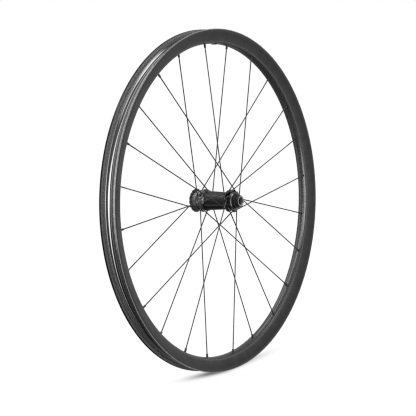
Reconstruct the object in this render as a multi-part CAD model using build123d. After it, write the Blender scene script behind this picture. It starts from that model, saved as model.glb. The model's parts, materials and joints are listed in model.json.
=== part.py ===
from build123d import *
from math import acos, cos, degrees, radians, sin, sqrt
import os

# Front bicycle wheel, in millimetres.
# The origin is the middle of the axle, in the rim's centre plane.
# +Y runs along the axle to the brake rotor's side (left), +X is forward, +Z is up.
# Angles around the wheel start at +X and grow towards +Z.

# Rim section: a hollow hookless moulding whose spoke bed lies off centre
bead_seat_radius = 311.0
rim_width = 34.8
rim_depth = 27.5
lip_height = 5.5
lip_thickness = 4.4
lip_fall = 0.45
lip_draft = 0.3
lip_edge_round = 0.8
shelf_width = 2.4
shelf_fall = 0.3
hump_height = 0.4
hump_width = 3.8
hump_round = 1.5
channel_depth = 4.6
bed_centre = -0.6
bed_width = 17.7
bed_crown = 2.6
bed_edge_round = 2.0
rim_wall = 1.7
tyre_bed_wall = 2.0
spoke_bed_wall = 3.0

# Valve hole and the moulded boss around it, midway between two spokes
valve_hole_radius = 3.25
valve_boss_radius = 8.0
valve_boss_taper = 2.8
valve_boss_height = 0.9

# Spoke lacing: straight pull, two crosses, two rows of lugs on each flange
spoke_count = 24
first_spoke_angle = 116.28
spoke_circle_rise = 1.0
left_nipple_offset = -0.6
right_nipple_offset = -5.0
left_flange_inset = 28.6
right_flange_inset = 20.0
spoke_row_gap = 4.0

# Spokes and nipples
spoke_radius = 1.0
spoke_end_radius = 1.1
spoke_butt_length = 22.0
spoke_butt_taper = 12.0
spoke_head_radius = 1.9
spoke_head_length = 2.2
spoke_end_past_bed = 2.0
nipple_radius = 2.0
nipple_square = 3.3
nipple_outside_length = 7.0
nipple_square_length = 5.4
nipple_head_flange = 0.8
nipple_head_length = 3.4
nipple_head_cone = 1.4
nipple_hole_clearance = 0.2
nipple_seat_gap = 0.45
thread_clearance = 0.05

# Hub shell, built outwards from the bearing seats
hub_wall = 1.45
body_left_rise = 1.45
body_right_fall = 0.5
bearing_shoulder = 1.0
spoke_line_height = 2.35
lug_cover = 2.6
lug_row_relief = 0.4
lug_seat = 1.5
lug_entry = 4.5
lug_buttress = 3.4
lug_root = 3.0
lug_chamfer = 0.7
spoke_hole_clearance = 0.15
left_flare_height = 1.2
left_flare_length = 5.6
left_flare_disc = 2.6
right_flare_height = 2.25
right_flare_length = 6.5
right_flare_disc = 0.6
flare_gap = 0.2
mouth_bead_height = 0.75
mouth_bead_length = 2.0
shell_chamfer = 0.5

# Rotor seat on the left: shoulder, splined nose and threaded mouth
thread_step = 0.9
thread_length = 4.0
thread_end_gap = 0.2
spline_wall = 1.7
spline_length = 7.0
spline_groove_radius = 0.8
spline_count = 20
rotor_shoulder_height = 1.6
rotor_shoulder_length = 2.4
lockring_overhang = 4.2
lockring_thickness = 2.6
lockring_bore_gap = 0.75
lockring_chamfer = 0.6
lockring_notch_radius = 1.7
lockring_notch_count = 16

# Cartridge bearings, one at each end of the shell
bearing_outer_radius = 15.0
bearing_width = 7.0
inner_ring_wall = 1.7
outer_ring_wall = 1.7
race_depth = 0.4
race_clearance = 0.1
ball_count = 11
ball_phase = 0.3
cage_wall = 1.2
cage_web = 0.6
cage_reach = 1.0
seal_thickness = 0.6
seal_recess = 0.35
seal_gap = 0.2
dust_seal_width = 1.0
press_clearance = 0.01

# Axle, end caps and their O-rings
fork_width = 110.0
through_bore_radius = 7.525
axle_wall = 0.975
axle_shoulder_height = 1.5
cap_length = 15.0
cap_bore_length = 8.0
cap_nose_wall = 2.975
cap_nose_length = 5.6
cap_collar_gap = 0.2
cap_step = 0.4
cap_chamfer = 0.9
cap_bore_chamfer = 0.2
shield_height = 2.6
shield_fall = 1.3
shield_length = 2.0
shield_rim = 0.2
shield_gap = 0.3
o_ring_wire_radius = 0.55
o_ring_inset = 3.0

LEFT = 1
RIGHT = -1
SIDE_NAMES = {LEFT: "left", RIGHT: "right"}

# Places along the axle
fork_face_y = fork_width / 2
axle_end_y = fork_face_y - cap_bore_length
bearing_face_y = fork_face_y - cap_length
bearing_middle_y = bearing_face_y - bearing_width / 2
bearing_seat_y = bearing_face_y - bearing_width
seat_mouth_y = bearing_face_y + dust_seal_width
shell_left_end = seat_mouth_y + thread_length
rotor_shoulder_y = shell_left_end - spline_length
flange_y = {LEFT: fork_face_y - left_flange_inset, RIGHT: right_flange_inset - fork_face_y}
nipple_y = {LEFT: bed_centre + left_nipple_offset, RIGHT: bed_centre + right_nipple_offset}

# Radii, from the axle outwards
axle_radius = through_bore_radius + axle_wall
axle_shoulder_radius = axle_radius + axle_shoulder_height
cap_bore_radius = axle_radius + press_clearance
cap_nose_radius = through_bore_radius + cap_nose_wall
inner_land_radius = axle_radius + inner_ring_wall
outer_land_radius = bearing_outer_radius - outer_ring_wall
ball_pitch_radius = (inner_land_radius + outer_land_radius) / 2
ball_radius = (outer_land_radius - inner_land_radius) / 2 + race_depth
race_radius = ball_radius + race_clearance
dust_seal_bore_radius = outer_land_radius - seal_recess
cap_collar_radius = dust_seal_bore_radius - cap_collar_gap
hub_bore_radius = bearing_outer_radius - bearing_shoulder
hub_body_radius = bearing_outer_radius + hub_wall
spoke_tangent_radius = hub_body_radius + spoke_line_height
lug_radius = spoke_tangent_radius + lug_cover
lug_thickness = spoke_row_gap - lug_row_relief
lockring_thread_radius = bearing_outer_radius + thread_step
lockring_bore_radius = cap_collar_radius + lockring_bore_gap
spline_radius = lockring_thread_radius + spline_wall
lockring_radius = spline_radius + lockring_overhang
rim_outer_radius = bead_seat_radius + lip_height
shelf_inner_radius = bead_seat_radius - shelf_fall
hump_radius = shelf_inner_radius + hump_height
channel_floor_radius = hump_radius - channel_depth
bed_crown_radius = rim_outer_radius - rim_depth
bed_edge_radius = bed_crown_radius + bed_crown
bed_arc_radius = (bed_width**2 / 4 + bed_crown**2) / (2 * bed_crown)
spoke_circle_radius = bed_crown_radius + spoke_circle_rise

# Half widths of the tyre channel, from the rim's centre plane
lip_inner_y = rim_width / 2 - lip_thickness
hump_foot_y = lip_inner_y - shelf_width
hump_crest_y = hump_foot_y - hump_width

# Angles
spoke_pitch = 360 / spoke_count
valve_angle = first_spoke_angle - 1.5 * spoke_pitch


def turned(*corners):
    """A solid turned about the axle from corners given as (radius, place along the axle)."""
    return revolve(make_face(Polyline(*corners, close=True)), Axis.Y)


def turned_on(side, *corners):
    """The same, with places along the axle measured outwards on one side of the wheel."""
    return turned(*[(radius, side * y) for radius, y in corners])


def torus_on(side, radius, y, wire_radius):
    """A ring of round wire about the axle."""
    return revolve(Pos(radius, side * y) * Circle(wire_radius), Axis.Y)


def around(radius, angle, y=0.0):
    """The point at an angle around the wheel."""
    return Vector(radius * cos(radians(angle)), y, radius * sin(radians(angle)))


def corners_near(face, *places):
    """The corners of a flat outline that lie nearest to the given places."""
    return [face.vertices().sort_by_distance(Vector(*place))[0] for place in places]


def along(plane, radius, start, end):
    """A round bar along a plane's normal, from one height above it to another."""
    return plane * Pos(0, 0, (start + end) / 2) * Cylinder(radius, end - start)


# Spoke lines

class SpokeLine:
    """One spoke's straight line, from its nipple in the rim to its lug on the hub."""

    def __init__(self, index):
        self.side = LEFT if index % 2 == 0 else RIGHT
        self.sense = 1 if (index // 2) % 2 == 0 else -1
        self.angle = first_spoke_angle - spoke_pitch * index
        swing = degrees(acos(spoke_tangent_radius / spoke_circle_radius))
        self.lug_angle = self.angle + self.sense * swing
        lug_y = flange_y[self.side] + self.sense * spoke_row_gap / 2
        nipple = around(spoke_circle_radius, self.angle, nipple_y[self.side])
        self.tangent = around(spoke_tangent_radius, self.lug_angle, lug_y)
        self.length = (nipple - self.tangent).length
        self.outward = (nipple - self.tangent).normalized()
        self.plane = Plane(origin=nipple, x_dir=(0, 1, 0), z_dir=self.outward)
        self.head_seat = -self.length - lug_seat


spoke_lines = [SpokeLine(index) for index in range(spoke_count)]


# Rim

def bed_inner_radius(y):
    """The radius of the spoke bed's inner face, which is concentric with the outer one."""
    inner_arc_radius = bed_arc_radius - spoke_bed_wall
    arc_centre_radius = bed_crown_radius + bed_arc_radius
    return arc_centre_radius - sqrt(inner_arc_radius**2 - (y - bed_centre) ** 2)


def rim_outline():
    """The rim's outer section, with radius across and the axle's direction up."""
    edge = rim_width / 2
    tyre_side = [
        (bead_seat_radius, edge),
        (rim_outer_radius, edge - lip_draft),
        (rim_outer_radius - lip_fall, lip_inner_y),
        (bead_seat_radius, lip_inner_y),
        (shelf_inner_radius, hump_foot_y),
        (hump_radius, hump_crest_y),
    ]
    opposite_side = [(radius, -y) for radius, y in tyre_side]
    left_foot = (bed_edge_radius, bed_centre + bed_width / 2)
    right_foot = (bed_edge_radius, bed_centre - bed_width / 2)
    left_wall = Polyline(left_foot, *tyre_side)
    right_wall = Polyline(right_foot, *opposite_side)
    channel = ThreePointArc(tyre_side[-1], (channel_floor_radius, 0), opposite_side[-1])
    bed = ThreePointArc(right_foot, (bed_crown_radius, bed_centre), left_foot)
    face = make_face(left_wall.edges() + right_wall.edges() + channel.edges() + bed.edges())
    face = fillet(corners_near(face, left_foot, right_foot), bed_edge_round)
    lip_edges = tyre_side[1:3] + opposite_side[1:3]
    face = fillet(corners_near(face, *lip_edges), lip_edge_round)
    return fillet(corners_near(face, tyre_side[-1], opposite_side[-1]), hump_round)


def rim_cavity():
    """The closed hollow inside the rim."""
    roof = shelf_inner_radius - tyre_bed_wall
    channel_arc_radius = (hump_crest_y**2 + channel_depth**2) / (2 * channel_depth)
    channel_drop = channel_floor_radius + channel_arc_radius - roof
    channel_side = sqrt((channel_arc_radius + tyre_bed_wall) ** 2 - channel_drop**2)
    floor_half = bed_width / 2 - rim_wall
    floor_radius = bed_inner_radius(bed_centre + floor_half)

    def roof_corner(sign):
        """Where the inside of a side wall meets the roof."""
        foot_y = bed_centre + sign * bed_width / 2
        edge_y = sign * rim_width / 2
        share = (roof - bed_edge_radius) / (bead_seat_radius - bed_edge_radius)
        return (roof, foot_y + share * (edge_y - foot_y) - sign * rim_wall)

    left_foot = (floor_radius, bed_centre + floor_half)
    right_foot = (floor_radius, bed_centre - floor_half)
    left_wall = Polyline(left_foot, roof_corner(1), (roof, channel_side))
    right_wall = Polyline(right_foot, roof_corner(-1), (roof, -channel_side))
    channel_roof = channel_floor_radius - tyre_bed_wall
    channel = ThreePointArc((roof, channel_side), (channel_roof, 0), (roof, -channel_side))
    floor = ThreePointArc(right_foot, (bed_inner_radius(bed_centre), bed_centre), left_foot)
    return make_face(left_wall.edges() + right_wall.edges() + channel.edges() + floor.edges())


def rim():
    """The rim with its valve boss, valve hole and one hole for each nipple."""
    inward = around(-1, valve_angle)
    valve = Plane(origin=around(bed_edge_radius, valve_angle), x_dir=(0, 1, 0), z_dir=inward)
    boss_height = bed_crown + valve_boss_height
    boss_top_radius = valve_boss_radius - valve_boss_taper
    boss = Pos(0, 0, boss_height / 2) * Cone(valve_boss_radius, boss_top_radius, boss_height)
    solid = revolve(rim_outline(), Axis.Y) + valve * boss - revolve(rim_cavity(), Axis.Y)
    holes = [along(valve, valve_hole_radius, -rim_depth, 2 * boss_height)]
    hole_radius = nipple_radius + nipple_hole_clearance
    for line in spoke_lines:
        holes.append(along(line.plane, hole_radius, -2 * spoke_bed_wall, 2 * spoke_bed_wall))
    return solid - holes


# Spokes and nipples

def bar(*corners):
    """A solid turned about its own length, from corners given as (radius, height)."""
    return revolve(Plane.XZ * make_face(Polyline(*corners, close=True)), Axis.Z)


def spoke(line):
    """A butted straight-pull spoke, with its thread in the nipple and its head behind the lug."""
    thin_top = -spoke_butt_length - spoke_butt_taper
    thick_foot = spoke_butt_length - line.length
    head_end = line.head_seat - spoke_head_length
    return line.plane * bar(
        (0, spoke_end_past_bed),
        (spoke_end_radius, spoke_end_past_bed),
        (spoke_end_radius, -spoke_butt_length),
        (spoke_radius, thin_top),
        (spoke_radius, thick_foot + spoke_butt_taper),
        (spoke_end_radius, thick_foot),
        (spoke_end_radius, line.head_seat),
        (spoke_head_radius, line.head_seat),
        (spoke_head_radius, head_end),
        (0, head_end),
    )


def nipple(line):
    """A nipple with its head inside the rim and a square shank for the spoke key outside."""
    bore = spoke_end_radius + thread_clearance
    seat = bed_inner_radius(nipple_y[line.side]) - spoke_circle_radius + nipple_seat_gap
    head_radius = nipple_radius + nipple_head_flange
    round_start = nipple_square_length - nipple_outside_length
    body = bar(
        (bore, round_start),
        (nipple_radius, round_start),
        (nipple_radius, seat),
        (head_radius, seat + nipple_head_cone),
        (head_radius, seat + nipple_head_length),
        (bore, seat + nipple_head_length),
    )
    shank = Box(nipple_square, nipple_square, nipple_square_length)
    shank &= Cylinder(nipple_radius, nipple_square_length)
    shank -= Cylinder(bore, nipple_square_length)
    middle = round_start - nipple_square_length / 2
    return line.plane * (body + Pos(0, 0, middle) * shank)


# Hub shell

def lug(line):
    """One buttressed lug that a spoke passes through, beside its tangent point."""
    radial = around(1, line.lug_angle)
    forward = around(line.sense, line.lug_angle + 90)
    root = hub_body_radius - lug_root
    middle = (lug_seat - lug_entry - lug_buttress / 2) / 2
    foot_y = line.tangent.Y - line.outward.Y * middle - lug_thickness / 2
    outline = [
        (-lug_entry - lug_buttress, root),
        (-lug_entry, lug_radius - lug_chamfer),
        (lug_chamfer - lug_entry, lug_radius),
        (lug_seat - lug_chamfer, lug_radius),
        (lug_seat, lug_radius - lug_chamfer),
        (lug_seat, root),
    ]
    corners = [forward * run + radial * height + Vector(0, foot_y, 0) for run, height in outline]
    return extrude(make_face(Polyline(*corners, close=True)), lug_thickness, dir=(0, 1, 0))


def lug_bores(line):
    """The spoke's hole through its lug, and the flat pocket that its head seats in."""
    hole_radius = spoke_end_radius + spoke_hole_clearance
    mouth = lug_entry + lug_buttress + lug_seat
    pocket_radius = spoke_head_radius + spoke_hole_clearance
    hole = along(line.plane, hole_radius, line.head_seat, mouth - line.length)
    pocket = along(line.plane, pocket_radius, line.head_seat - 2 * spoke_head_length, line.head_seat)
    return [hole, pocket]


def hub_shell():
    """The one-piece shell: body, flares, lugs, rotor seat and bearing seats."""
    lug_reach = (spoke_row_gap + lug_thickness) / 2 + flare_gap
    right_disc = flange_y[RIGHT] + lug_reach
    left_disc = flange_y[LEFT] - lug_reach
    right_flare_radius = hub_body_radius + right_flare_height
    left_body_radius = hub_body_radius + body_left_rise
    left_flare_radius = left_body_radius + left_flare_height
    bead_radius = hub_body_radius + mouth_bead_height
    shoulder_radius = spline_radius + rotor_shoulder_height
    shoulder_start = rotor_shoulder_y - rotor_shoulder_length
    body = turned(
        (0, -seat_mouth_y),
        (bead_radius - shell_chamfer, -seat_mouth_y),
        (bead_radius, shell_chamfer - seat_mouth_y),
        (bead_radius, mouth_bead_length - seat_mouth_y),
        (hub_body_radius, mouth_bead_length - seat_mouth_y),
        (hub_body_radius, right_disc),
        (right_flare_radius, right_disc),
        (right_flare_radius, right_disc + right_flare_disc),
        (hub_body_radius - body_right_fall, right_disc + right_flare_length),
        (left_body_radius, left_disc - left_flare_length),
        (left_flare_radius, left_disc - left_flare_disc),
        (left_flare_radius, left_disc),
        (hub_body_radius, left_disc),
        (hub_body_radius, shoulder_start),
        (shoulder_radius - shell_chamfer, shoulder_start),
        (shoulder_radius, shoulder_start + shell_chamfer),
        (shoulder_radius, rotor_shoulder_y),
        (spline_radius, rotor_shoulder_y),
        (spline_radius, shell_left_end),
        (0, shell_left_end),
    )
    seat_radius = bearing_outer_radius + press_clearance
    thread_radius = lockring_thread_radius + thread_clearance
    hollow = turned(
        (0, -seat_mouth_y),
        (seat_radius, -seat_mouth_y),
        (seat_radius, -bearing_seat_y),
        (hub_bore_radius, -bearing_seat_y),
        (hub_bore_radius, bearing_seat_y),
        (seat_radius, bearing_seat_y),
        (seat_radius, seat_mouth_y),
        (thread_radius, seat_mouth_y),
        (thread_radius, shell_left_end),
        (0, shell_left_end),
    )
    cuts = [hollow]
    for line in spoke_lines:
        cuts += lug_bores(line)
    for step in range(spline_count):
        centre = around(spline_radius, 360 / spline_count * step, rotor_shoulder_y)
        groove = Plane(origin=centre, z_dir=(0, 1, 0))
        cuts.append(along(groove, spline_groove_radius, 0, spline_length))
    return body + [lug(line) for line in spoke_lines] - cuts


def rotor_lockring():
    """The lockring that clamps a rotor on the spline, with notches for its tool."""
    thread_end = seat_mouth_y + thread_end_gap
    outer_y = shell_left_end + lockring_thickness
    solid = turned(
        (lockring_bore_radius, thread_end),
        (lockring_thread_radius, thread_end),
        (lockring_thread_radius, shell_left_end),
        (lockring_radius, shell_left_end),
        (lockring_radius, outer_y - lockring_chamfer),
        (lockring_radius - lockring_chamfer, outer_y),
        (lockring_bore_radius, outer_y),
    )
    notches = []
    for step in range(lockring_notch_count):
        centre = around(lockring_radius, 360 / lockring_notch_count * step, shell_left_end)
        notch = Plane(origin=centre, z_dir=(0, 1, 0))
        notches.append(along(notch, lockring_notch_radius, 0, lockring_thickness))
    return solid - notches


# Bearings and seals

def ball_places(side):
    """The centres of one bearing's balls."""
    pitch = 360 / ball_count
    angles = [pitch * (step + ball_phase) for step in range(ball_count)]
    return [around(ball_pitch_radius, angle, side * bearing_middle_y) for angle in angles]


def race(side):
    """The round groove that the balls run in."""
    return torus_on(side, ball_pitch_radius, bearing_middle_y, race_radius)


def bearing_outer_ring(side):
    """The outer ring, with a race inside and a recess for a seal at each face."""
    recess_radius = outer_land_radius + seal_recess
    recess_depth = seal_thickness + race_clearance
    ring = turned_on(
        side,
        (bearing_outer_radius, bearing_seat_y),
        (bearing_outer_radius, bearing_face_y),
        (recess_radius, bearing_face_y),
        (recess_radius, bearing_face_y - recess_depth),
        (outer_land_radius, bearing_face_y - recess_depth),
        (outer_land_radius, bearing_seat_y + recess_depth),
        (recess_radius, bearing_seat_y + recess_depth),
        (recess_radius, bearing_seat_y),
    )
    return ring - race(side)


def bearing_inner_ring(side):
    """The inner ring, with a race outside."""
    bore = axle_radius + press_clearance
    ring = turned_on(
        side,
        (bore, bearing_seat_y),
        (inner_land_radius, bearing_seat_y),
        (inner_land_radius, bearing_face_y),
        (bore, bearing_face_y),
    )
    return ring - race(side)


def bearing_balls(side):
    """One bearing's balls."""
    return Compound([Pos(*place) * Sphere(ball_radius) for place in ball_places(side)])


def bearing_cage(side):
    """The crown cage that spaces the balls, open towards the hub's middle."""
    back = bearing_middle_y + race_radius + cage_web
    front = bearing_middle_y - cage_reach
    inner = ball_pitch_radius - cage_wall / 2
    outer = ball_pitch_radius + cage_wall / 2
    crown = turned_on(side, (inner, front), (outer, front), (outer, back), (inner, back))
    pockets = []
    for place in ball_places(side):
        radial = Plane(origin=place, z_dir=(place.X, 0, place.Z))
        pockets.append(along(radial, race_radius, -cage_wall, cage_wall))
    return crown - pockets


def bearing_seals(side):
    """The thin seals in the two faces of a bearing's outer ring."""
    inner = inner_land_radius + seal_gap
    outer = outer_land_radius + seal_recess - press_clearance
    inset = race_clearance / 2
    seals = []
    for low in (bearing_seat_y + inset, bearing_face_y - inset - seal_thickness):
        high = low + seal_thickness
        seals.append(turned_on(side, (inner, low), (outer, low), (outer, high), (inner, high)))
    return Compound(seals)


def dust_seal(side):
    """The rubber ring in the shell's mouth, outside the bearing, with a lip towards the end cap."""
    outer = bearing_outer_radius
    lip = outer_land_radius + seal_recess
    half = (bearing_face_y + seat_mouth_y) / 2
    return turned_on(
        side,
        (outer, bearing_face_y),
        (outer, seat_mouth_y),
        (dust_seal_bore_radius, seat_mouth_y),
        (dust_seal_bore_radius, half),
        (lip, bearing_face_y),
    )


# Axle and end caps

def axle():
    """The axle tube, with a shoulder for each bearing's inner ring."""
    return turned(
        (through_bore_radius, -axle_end_y),
        (axle_radius, -axle_end_y),
        (axle_radius, -bearing_seat_y),
        (axle_shoulder_radius, -bearing_seat_y),
        (axle_shoulder_radius, bearing_seat_y),
        (axle_radius, bearing_seat_y),
        (axle_radius, axle_end_y),
        (through_bore_radius, axle_end_y),
    )


def dust_shield(side):
    """The cone on the right end cap that covers the mouth of the shell."""
    start = seat_mouth_y + shield_gap
    shield_radius = cap_collar_radius + shield_height
    return turned_on(
        side,
        (cap_nose_radius, start),
        (shield_radius, start),
        (shield_radius, start + shield_rim),
        (shield_radius - shield_fall, start + shield_length),
        (cap_nose_radius, start + shield_length),
    )


def end_cap(side):
    """An end cap: it slips over the axle's end, holds the inner ring and stands in the fork."""
    nose_start = fork_face_y - cap_nose_length
    cap = turned_on(
        side,
        (cap_bore_radius, bearing_face_y),
        (axle_shoulder_radius, bearing_face_y),
        (axle_shoulder_radius, bearing_face_y + cap_step),
        (cap_collar_radius, bearing_face_y + cap_step),
        (cap_collar_radius, nose_start - cap_chamfer),
        (cap_nose_radius, nose_start),
        (cap_nose_radius, fork_face_y - cap_chamfer),
        (cap_nose_radius - cap_chamfer, fork_face_y),
        (through_bore_radius + cap_bore_chamfer, fork_face_y),
        (through_bore_radius, fork_face_y - cap_bore_chamfer),
        (through_bore_radius, axle_end_y),
        (cap_bore_radius, axle_end_y),
    )
    groove_y = axle_end_y - o_ring_inset
    groove_radius = cap_bore_radius + 2 * o_ring_wire_radius
    groove = turned_on(
        side,
        (through_bore_radius, groove_y - o_ring_wire_radius),
        (groove_radius, groove_y - o_ring_wire_radius),
        (groove_radius, groove_y + o_ring_wire_radius),
        (through_bore_radius, groove_y + o_ring_wire_radius),
    )
    if side == RIGHT:
        cap += dust_shield(side)
    return cap - groove


def end_cap_o_rings():
    """The rubber rings that hold both end caps on the axle."""
    radius = cap_bore_radius + o_ring_wire_radius
    place = axle_end_y - o_ring_inset
    return Compound([torus_on(side, radius, place, o_ring_wire_radius) for side in (LEFT, RIGHT)])


# All pieces by name

pieces = {
    "rim": rim(),
    "nipples": Compound([nipple(line) for line in spoke_lines]),
    "hub_shell": hub_shell(),
    "rotor_lockring": rotor_lockring(),
    "axle": axle(),
    "end_cap_o_rings": end_cap_o_rings(),
}
for number, line in enumerate(spoke_lines, 1):
    pieces[f"spoke_{number:02d}"] = spoke(line)
for side, side_name in SIDE_NAMES.items():
    pieces[f"bearing_outer_ring_{side_name}"] = bearing_outer_ring(side)
    pieces[f"bearing_inner_ring_{side_name}"] = bearing_inner_ring(side)
    pieces[f"bearing_balls_{side_name}"] = bearing_balls(side)
    pieces[f"bearing_cage_{side_name}"] = bearing_cage(side)
    pieces[f"bearing_seals_{side_name}"] = bearing_seals(side)
    pieces[f"dust_seal_{side_name}"] = dust_seal(side)
    pieces[f"end_cap_{side_name}"] = end_cap(side)

os.makedirs("parts", exist_ok=True)
for name, piece in pieces.items():
    export_step(piece, f"parts/{name}.step")
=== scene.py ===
"""Looks, light and camera for a front bicycle wheel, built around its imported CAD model."""

import json
import math
from collections import namedtuple

import bpy
from mathutils import Matrix, Vector

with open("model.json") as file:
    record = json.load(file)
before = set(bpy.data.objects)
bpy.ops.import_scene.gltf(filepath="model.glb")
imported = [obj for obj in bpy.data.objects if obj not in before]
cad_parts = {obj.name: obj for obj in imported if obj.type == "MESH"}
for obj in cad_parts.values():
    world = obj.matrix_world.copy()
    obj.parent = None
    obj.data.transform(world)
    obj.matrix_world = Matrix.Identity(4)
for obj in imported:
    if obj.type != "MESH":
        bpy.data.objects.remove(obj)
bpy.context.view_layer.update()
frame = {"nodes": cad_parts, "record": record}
scene = bpy.context.scene
nodes = frame["nodes"]

# The camera, fitted to the photograph's rim circles and spokes
image_pixels = 416
focal_pixels = 1569.0
sensor_width = 36.0
pixel_blur = 1.25
view_reach = 100.0
camera_place = (-2.3522, -1.7056, -0.0278)
camera_azimuth = math.radians(53.748)
camera_elevation = math.radians(-0.273)
camera_roll = math.radians(1.407)

# Where one finish or painted light ends and the next begins, as radii about the axle in metres
rim_radius = 0.3165
lip_top_radius = 0.3161
corner_radius = 0.3149
wall_radius = 0.3112
lip_radius = 0.311
side_radius = 0.308
channel_radius = 0.303
highlight_band_radius = 0.2965
highlight_band_full_radius = 0.293
bed_radius = 0.2925
shield_radius = 0.01395
bare_ring_radius = 0.00885
bore_radius = 0.00755

# The same along the axle, from the rim's middle plane
corner_half_width = 0.0167
seat_half_width = 0.01305
crest_half_width = 0.0078
slope_start = 0.0078
slope_end = 0.01
# where the hub's far disc side, painted lighter, begins
lit_flange_start = 0.01975

# How wide the change from one finish to the next is
crisp_edge = 0.0001
fine_edge = 0.0002
soft_edge = 0.0006

# Colours of the rim, from the spoke bed outwards. The bed grey, the blotch greys and the gloss black are
# the carbon's own; the other greys, and the lighter inner blotch pair, are painted light and shade
bed_grey = (0.045, 0.045, 0.0465, 1)
bed_edge_highlight_grey = (0.09, 0.09, 0.093, 1)
lit_inner_dark = (0.025, 0.0252, 0.0262, 1)
lit_inner_light = (0.042, 0.0423, 0.0435, 1)
satin_dark = (0.008, 0.0082, 0.009, 1)
satin_light = (0.016, 0.0163, 0.0175, 1)
lit_near_lip_black = (0.01, 0.01, 0.0108, 1)
shaded_far_lip_black = (0.003, 0.003, 0.0033, 1)
lit_near_seat_grey = (0.035, 0.035, 0.0365, 1)
lit_far_seat_grey = (0.07, 0.07, 0.073, 1)
slope_highlight_grey = (0.12, 0.12, 0.123, 1)
lit_wall_grey = (0.26, 0.26, 0.265, 1)
corner_highlight_grey = (0.32, 0.32, 0.325, 1)
gloss_black = (0.006, 0.006, 0.0065, 1)

# The rim's blotches, gloss and clear coat
blotch_scale = 55.0
blotch_detail = 3.0
blotch_low = 0.35
blotch_high = 0.65
satin_roughness = 0.38
bed_roughness = 0.26
gloss_roughness = 0.12
far_top_roughness = 0.1
bed_coat = 0.12
coat_ior = 2.2
coat_roughness = 0.05

# Colours and gloss of the spokes, the end caps and the hub
spoke_black = (0.006, 0.006, 0.0065, 1)
spoke_roughness = 0.45
spoke_specular = 0.95
cap_black = (0.01, 0.01, 0.011, 1)
shield_grey = (0.17, 0.17, 0.175, 1)
bore_grey = (0.3, 0.3, 0.31, 1)
bare_grey = (0.5, 0.51, 0.53, 1)
bare_metal = 0.4
cap_roughness = 0.28
cap_specular = 0.35
body_grey = (0.095, 0.095, 0.1, 1)
body_roughness = 0.2
# the hub's far disc side: painted light in a lighter grey, and duller
lit_flange_grey = (0.27, 0.27, 0.28, 1)
lit_flange_roughness = 0.35

# Finishes of the pieces that are plain all over
Finish = namedtuple("Finish", "color roughness metallic")
plain_finishes = {
    "lockring_black": Finish(color=(0.035, 0.035, 0.037, 1), roughness=0.35, metallic=0.0),
    "axle_aluminium": Finish(color=(0.7, 0.71, 0.73, 1), roughness=0.35, metallic=1.0),
    "bearing_steel": Finish(color=(0.6, 0.61, 0.63, 1), roughness=0.25, metallic=1.0),
    "cage_plastic": Finish(color=(0.32, 0.24, 0.14, 1), roughness=0.5, metallic=0.0),
    "seal_rubber": Finish(color=(0.02, 0.02, 0.02, 1), roughness=0.6, metallic=0.0),
}

# The floor and its soft shadow, a streak that turns away from the rim's plane and thins out to both sides
floor_size = 40.0
floor_grey = (0.35, 0.35, 0.35, 1)
shadow_offset = 0.009
shadow_width = 0.0118
shadow_front_slope = 0.31
shadow_back_slope = 0.41
shadow_front_reach = 0.082
shadow_back_reach = 0.2
shadow_depth = 0.6
display_gamma = 2.2
white_level = 1.02

# The studio: tones by degrees around the wheel at the horizon and overhead, a lamp and two soft boxes
SoftBox = namedtuple("SoftBox", "direction outer inner tone")
full_turn = 360.0
side_tones = [(0, 0.65), (20, 0.65), (40, 0.35), (100, 0.3), (121, 0.4), (123, 2.0), (131, 2.0), (133, 0.2),
              (200, 0.2), (222, 0.25), (252, 0.25), (264, 1.0), (328, 1.0), (336, 0.7), (360, 0.65)]
overhead_tones = [(0, 0.25), (40, 0.35), (60, 0.35), (100, 0.4), (121, 0.5), (124, 1.7), (134, 1.7),
                  (139, 0.4), (180, 0.35), (222, 0.4), (260, 0.2), (300, 0.2), (312, 0.25), (360, 0.25)]
overhead_start = 0.1
overhead_full = 0.6
overhead_lean = 0.36
below_fade = 0.93
lamp_middle = 188.5
lamp_lean = 55.0
lamp_least = 158.0
lamp_half_width = 23.0
lamp_narrowing = 21.0
lamp_edge = 4.0
lamp_tone = 6.3
lamp_fade = 0.62
soft_boxes = [
    SoftBox(direction=(-0.24, -0.66, 0.71), outer=15.0, inner=3.0, tone=2.6),
    SoftBox(direction=(0.06, -0.46, 0.885), outer=19.0, inner=4.0, tone=4.6),
]

# Places of a mix node's colour sockets, which come after those for numbers and vectors
mix_first_color = 6
mix_second_color = 7
mix_color = 2


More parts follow.
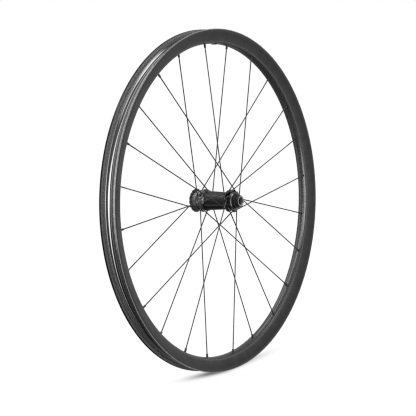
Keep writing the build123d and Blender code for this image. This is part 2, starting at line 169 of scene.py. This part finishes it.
class Graph:
    """A short way to add shader nodes to a tree."""

    def __init__(self, tree):
        self.tree = tree

    def add(self, kind, **settings):
        node = self.tree.nodes.new(kind)
        for name, value in settings.items():
            setattr(node, name, value)
        return node

    def plug(self, value, socket):
        """Links a socket, or sets a plain value."""
        if isinstance(value, bpy.types.NodeSocket):
            self.tree.links.new(value, socket)
        else:
            socket.default_value = value

    def math(self, operation, *values):
        node = self.add("ShaderNodeMath", operation=operation)
        for value, socket in zip(values, node.inputs):
            self.plug(value, socket)
        return node.outputs[0]

    def step(self, value, low, high):
        """0 below low, 1 above high, smooth between."""
        node = self.add("ShaderNodeMapRange", interpolation_type="SMOOTHSTEP")
        for part, socket in zip((value, low, high, 0.0, 1.0), node.inputs):
            self.plug(part, socket)
        return node.outputs[0]

    def past(self, value, place, edge):
        """1 where a value is past a place, with an edge this wide."""
        return self.step(value, place - edge / 2, place + edge / 2)

    def before(self, value, place, edge):
        """1 where a value is short of a place, with an edge this wide."""
        return self.step(value, place + edge / 2, place - edge / 2)

    def both(self, first, second):
        """1 where two masks overlap."""
        return self.math("MULTIPLY", first, second)

    def square(self, value):
        return self.math("MULTIPLY", value, value)

    def blend(self, factor, first, second):
        """A number between two, by a factor."""
        node = self.add("ShaderNodeMapRange")
        for part, socket in zip((factor, 0.0, 1.0, first, second), node.inputs):
            self.plug(part, socket)
        return node.outputs[0]

    def tint(self, factor, first, second):
        """A colour between two, by a factor."""
        node = self.add("ShaderNodeMix", data_type="RGBA")
        self.plug(factor, node.inputs[0])
        self.plug(first, node.inputs[mix_first_color])
        self.plug(second, node.inputs[mix_second_color])
        return node.outputs[mix_color]

    def noise(self, vector, scale, detail):
        node = self.add("ShaderNodeTexNoise")
        self.plug(vector, node.inputs["Vector"])
        self.plug(scale, node.inputs["Scale"])
        self.plug(detail, node.inputs["Detail"])
        return node.outputs[0]

    def ramp(self, value, stops):
        """A number read off straight lines between (place, number) stops."""
        node = self.add("ShaderNodeFloatCurve")
        curve = node.mapping.curves[0]
        top = max(number for place, number in stops)
        node.mapping.use_clip = False
        for place, number in stops[1:-1]:
            curve.points.new(place, number / top)
        curve.points[0].location = (stops[0][0], stops[0][1] / top)
        curve.points[-1].location = (stops[-1][0], stops[-1][1] / top)
        for point in curve.points:
            point.handle_type = "VECTOR"
        node.mapping.update()
        self.plug(value, node.inputs["Value"])
        return self.math("MULTIPLY", node.outputs[0], top)


def material(name, color, roughness, metallic=0.0):
    """A plain principled material, with its graph and shader for additions."""
    made = bpy.data.materials.new(name)
    made.use_nodes = True
    graph = Graph(made.node_tree)
    shader = made.node_tree.nodes["Principled BSDF"]
    shader.inputs["Base Color"].default_value = color
    shader.inputs["Roughness"].default_value = roughness
    shader.inputs["Metallic"].default_value = metallic
    return made, graph, shader


def polar(graph):
    """The object's own coordinates as a vector, a radius about the axle and a place along it."""
    place = graph.add("ShaderNodeTexCoord").outputs["Object"]
    split = graph.add("ShaderNodeSeparateXYZ")
    graph.plug(place, split.inputs[0])
    across, along, up = split.outputs
    squares = graph.math("ADD", graph.square(across), graph.square(up))
    return place, graph.math("SQRT", squares), along


def rim_material():
    """Satin carbon with faint blotches outside, a glossier tyre channel, and painted light and shade in
    greys on its walls, lips, seats and edges.
    """
    made, graph, shader = material("rim_carbon", satin_light, satin_roughness)
    place, radius, along = polar(graph)
    aside = graph.math("ABSOLUTE", along)
    far = graph.math("GREATER_THAN", along, 0.0)
    bed = graph.before(radius, bed_radius, soft_edge)
    lip = graph.past(radius, lip_radius, soft_edge)
    inside = graph.past(radius, channel_radius, soft_edge)
    seats = graph.both(inside, graph.before(aside, seat_half_width, crisp_edge))
    channel = graph.both(inside, graph.before(aside, crest_half_width, fine_edge))
    wall = graph.both(seats, graph.past(radius, wall_radius, fine_edge))
    slope = graph.both(graph.past(along, slope_start, soft_edge), graph.before(along, slope_end, soft_edge))
    corner = graph.both(graph.past(radius, corner_radius, soft_edge),
                        graph.past(aside, corner_half_width, fine_edge))
    lip_top = graph.past(radius, lip_top_radius, crisp_edge)
    far_top = graph.both(lip_top, far)
    gloss = graph.math("MAXIMUM", channel, graph.math("SUBTRACT", lip_top, far_top))

    cloudy = graph.step(graph.noise(place, blotch_scale, blotch_detail), blotch_low, blotch_high)
    outer = graph.tint(cloudy, satin_dark, satin_light)
    inner = graph.tint(cloudy, lit_inner_dark, lit_inner_light)
    # painted light: the side wall turns lighter towards the spoke bed, as a rounded wall would catch light;
    # the blotches on it are the carbon's own
    shade = graph.tint(graph.step(radius, side_radius, bed_radius), outer, inner)
    layers = [
        # painted highlight: a lighter band on the side wall beside the spoke bed, standing in for light on
        # a rounded edge
        (graph.step(radius, highlight_band_radius, highlight_band_full_radius), bed_edge_highlight_grey),
        (bed, bed_grey),
        # painted light and shade: the near lip is a lighter black than the far lip
        (lip, graph.tint(far, lit_near_lip_black, shaded_far_lip_black)),
        # painted light: the channel's seats are grey, lighter on the far side, for the light they reflect
        (seats, graph.tint(far, lit_near_seat_grey, lit_far_seat_grey)),
        # painted highlight on the far slope of the channel's hump
        (graph.both(slope, seats), slope_highlight_grey),
        # painted light: the inner walls of the lips are grey
        (wall, lit_wall_grey),
        # painted highlight on the lips' rounded outer corners
        (corner, corner_highlight_grey),
        (gloss, gloss_black),
    ]
    for mask, color in layers:
        shade = graph.tint(mask, shade, color)
    graph.plug(shade, shader.inputs["Base Color"])

    satin = graph.blend(far_top, graph.blend(bed, satin_roughness, bed_roughness), far_top_roughness)
    graph.plug(graph.blend(gloss, satin, gloss_roughness), shader.inputs["Roughness"])
    coat = graph.math("MAXIMUM", gloss, graph.math("MULTIPLY", bed, bed_coat))
    graph.plug(coat, shader.inputs["Coat Weight"])
    shader.inputs["Coat IOR"].default_value = coat_ior
    shader.inputs["Coat Roughness"].default_value = coat_roughness
    return made


def spoke_material(name):
    """Black oxide with a soft sheen."""
    made, _, shader = material(name, spoke_black, spoke_roughness)
    shader.inputs["Specular IOR Level"].default_value = spoke_specular
    return made


def cap_material():
    """Black anodised, with a brighter turned shield, a bare ring in the bore's mouth and a grey bore."""
    made, graph, shader = material("cap_black", cap_black, cap_roughness)
    _, radius, _ = polar(graph)
    bare = graph.before(radius, bare_ring_radius, crisp_edge)
    bore = graph.before(radius, bore_radius, crisp_edge)
    shield = graph.past(radius, shield_radius, crisp_edge)
    shade = cap_black
    for mask, color in [(bare, bare_grey), (shield, shield_grey), (bore, bore_grey)]:
        shade = graph.tint(mask, shade, color)
    graph.plug(shade, shader.inputs["Base Color"])
    metal = graph.math("ADD", shield, graph.math("MULTIPLY", bare, bare_metal))
    graph.plug(metal, shader.inputs["Metallic"])
    shader.inputs["Specular IOR Level"].default_value = cap_specular
    return made


def hub_material():
    """Black anodised: a shiny turned body, and a duller far disc side painted a lighter grey to stand in
    for the light it catches.
    """
    made, graph, shader = material("hub_black", body_grey, body_roughness, 1.0)
    _, _, along = polar(graph)
    # painted light: the far disc side is a lighter grey than the body
    lit_flange = graph.past(along, lit_flange_start, soft_edge)
    graph.plug(graph.tint(lit_flange, body_grey, lit_flange_grey), shader.inputs["Base Color"])
    graph.plug(graph.blend(lit_flange, body_roughness, lit_flange_roughness), shader.inputs["Roughness"])
    return made


def by_ray(graph, lit, seen, output):
    """One shader for light and reflections, and another where the camera looks straight at it."""
    choice = graph.add("ShaderNodeMixShader")
    graph.plug(graph.add("ShaderNodeLightPath").outputs["Is Camera Ray"], choice.inputs[0])
    graph.plug(lit.outputs[0], choice.inputs[1])
    graph.plug(seen.outputs[0], choice.inputs[2])
    graph.plug(choice.outputs[0], output.inputs["Surface"])


def floor_material():
    """A floor that lights the wheel from below, and that the camera sees as white with a soft shadow."""
    made, graph, shader = material("floor_white", floor_grey, 1.0)
    shader.inputs["Specular IOR Level"].default_value = 0.0
    split = graph.add("ShaderNodeSeparateXYZ")
    graph.plug(graph.add("ShaderNodeTexCoord").outputs["Object"], split.inputs[0])
    across, along, _ = split.outputs
    behind = graph.math("GREATER_THAN", across, 0.0)
    line = graph.math("MULTIPLY", across, graph.blend(behind, shadow_front_slope, shadow_back_slope))
    aside = graph.math("SUBTRACT", graph.math("ADD", along, shadow_offset), line)
    aside = graph.math("DIVIDE", aside, shadow_width)
    reach = graph.math("DIVIDE", across, graph.blend(behind, shadow_front_reach, shadow_back_reach))
    distance = graph.math("ADD", graph.square(reach), graph.square(aside))
    cover = graph.math("EXPONENT", graph.math("MULTIPLY", distance, -0.5))
    tone = graph.math("SUBTRACT", 1.0, graph.math("MULTIPLY", cover, shadow_depth))
    tone = graph.math("MULTIPLY", graph.math("POWER", tone, display_gamma), white_level)
    seen = graph.add("ShaderNodeEmission")
    graph.plug(tone, seen.inputs["Strength"])
    by_ray(graph, shader, seen, made.node_tree.nodes["Material Output"])
    return made


def turn_around(graph, across, along, up):
    """A direction's share of a full turn around the wheel, where overhead counts as left of it."""
    lift = graph.math("MAXIMUM", up, 0.0)
    left = graph.math("LESS_THAN", across, graph.math("MULTIPLY", lift, overhead_lean))
    squares = graph.math("ADD", graph.square(across), graph.square(lift))
    aside = graph.math("MULTIPLY", graph.math("SQRT", squares), graph.blend(left, 1.0, -1.0))
    turn = graph.math("DIVIDE", graph.math("ARCTAN2", along, aside), 2 * math.pi)
    return graph.math("FRACT", graph.math("ADD", turn, 1.0))


def room_light(graph, turn, up):
    """The room's own tones, which fade below the horizon."""
    sides = graph.ramp(turn, [(degrees / full_turn, tone) for degrees, tone in side_tones])
    overhead = graph.ramp(turn, [(degrees / full_turn, tone) for degrees, tone in overhead_tones])
    strength = graph.blend(graph.step(up, overhead_start, overhead_full), sides, overhead)
    drop = graph.math("MULTIPLY", graph.math("MINIMUM", up, 0.0), below_fade)
    return graph.math("MULTIPLY", strength, graph.math("ADD", drop, 1.0))


def lamp_light(graph, turn, up):
    """A tall lamp on the left that leans, narrows and fades away from the horizon."""
    height = graph.math("ABSOLUTE", up)
    bend = graph.math("MULTIPLY", graph.math("MULTIPLY", up, height), lamp_lean)
    middle = graph.math("MAXIMUM", graph.math("SUBTRACT", lamp_middle, bend), lamp_least)
    half = graph.math("SUBTRACT", lamp_half_width, graph.math("MULTIPLY", height, lamp_narrowing))
    away = graph.math("ABSOLUTE", graph.math("SUBTRACT", graph.math("MULTIPLY", turn, full_turn), middle))
    cover = graph.step(graph.math("SUBTRACT", away, half), lamp_edge, -lamp_edge)
    tone = graph.math("SUBTRACT", lamp_tone, graph.math("MULTIPLY", height, lamp_tone * lamp_fade))
    return graph.math("MULTIPLY", cover, tone)


def soft_box_light(graph, direction, box):
    """A round patch of light that fades between two angles from its middle."""
    product = graph.add("ShaderNodeVectorMath", operation="DOT_PRODUCT")
    graph.plug(direction, product.inputs[0])
    graph.plug(Vector(box.direction).normalized(), product.inputs[1])
    outer = math.cos(math.radians(box.outer))
    inner = math.cos(math.radians(box.inner))
    return graph.math("MULTIPLY", graph.step(product.outputs["Value"], outer, inner), box.tone)


def white_world():
    """White where the camera sees it, and a studio for light and reflections."""
    world = bpy.data.worlds.new("studio")
    scene.world = world
    world.use_nodes = True
    world.node_tree.nodes.clear()
    graph = Graph(world.node_tree)
    direction = graph.add("ShaderNodeTexCoord").outputs["Generated"]
    split = graph.add("ShaderNodeSeparateXYZ")
    graph.plug(direction, split.inputs[0])
    across, along, up = split.outputs
    turn = turn_around(graph, across, along, up)
    strength = graph.math("ADD", room_light(graph, turn, up), lamp_light(graph, turn, up))
    for box in soft_boxes:
        strength = graph.math("ADD", strength, soft_box_light(graph, direction, box))
    studio = graph.add("ShaderNodeBackground")
    white = graph.add("ShaderNodeBackground")
    for background in (studio, white):
        graph.plug((1.0, 1.0, 1.0, 1.0), background.inputs["Color"])
    graph.plug(strength, studio.inputs["Strength"])
    by_ray(graph, studio, white, graph.add("ShaderNodeOutputWorld"))


looks = {name: material(name, *finish)[0] for name, finish in plain_finishes.items()}
looks["rim_carbon"] = rim_material()
looks["spoke_black"] = spoke_material("spoke_black")
looks["nipple_black"] = spoke_material("nipple_black")
looks["hub_black"] = hub_material()
cap_look = cap_material()

for part in frame["record"]["subparts"]:
    piece = nodes[part["node"]]
    look = looks[part["material_slot"]]
    if part["node"] in ("end_cap_left", "end_cap_right"):
        look = cap_look
    piece.data.materials.clear()
    piece.data.materials.append(look)

bpy.ops.mesh.primitive_plane_add(size=floor_size, location=(0, 0, -rim_radius))
floor = bpy.context.object
floor.name = "floor"
floor.data.materials.append(floor_material())
floor.visible_glossy = False

white_world()

lens = bpy.data.cameras.new("camera")
lens.sensor_width = sensor_width
lens.lens = focal_pixels * sensor_width / image_pixels
lens.clip_end = view_reach
camera = bpy.data.objects.new("camera", lens)
scene.collection.objects.link(camera)
spin = Matrix.Rotation(-camera_azimuth, 4, "Z")
tilt = Matrix.Rotation(math.pi / 2 - camera_elevation, 4, "X")
roll = Matrix.Rotation(camera_roll, 4, "Z")
camera.matrix_world = Matrix.Translation(Vector(camera_place)) @ spin @ tilt @ roll
scene.camera = camera
scene.view_settings.view_transform = "Standard"
scene.cycles.filter_width = pixel_blur
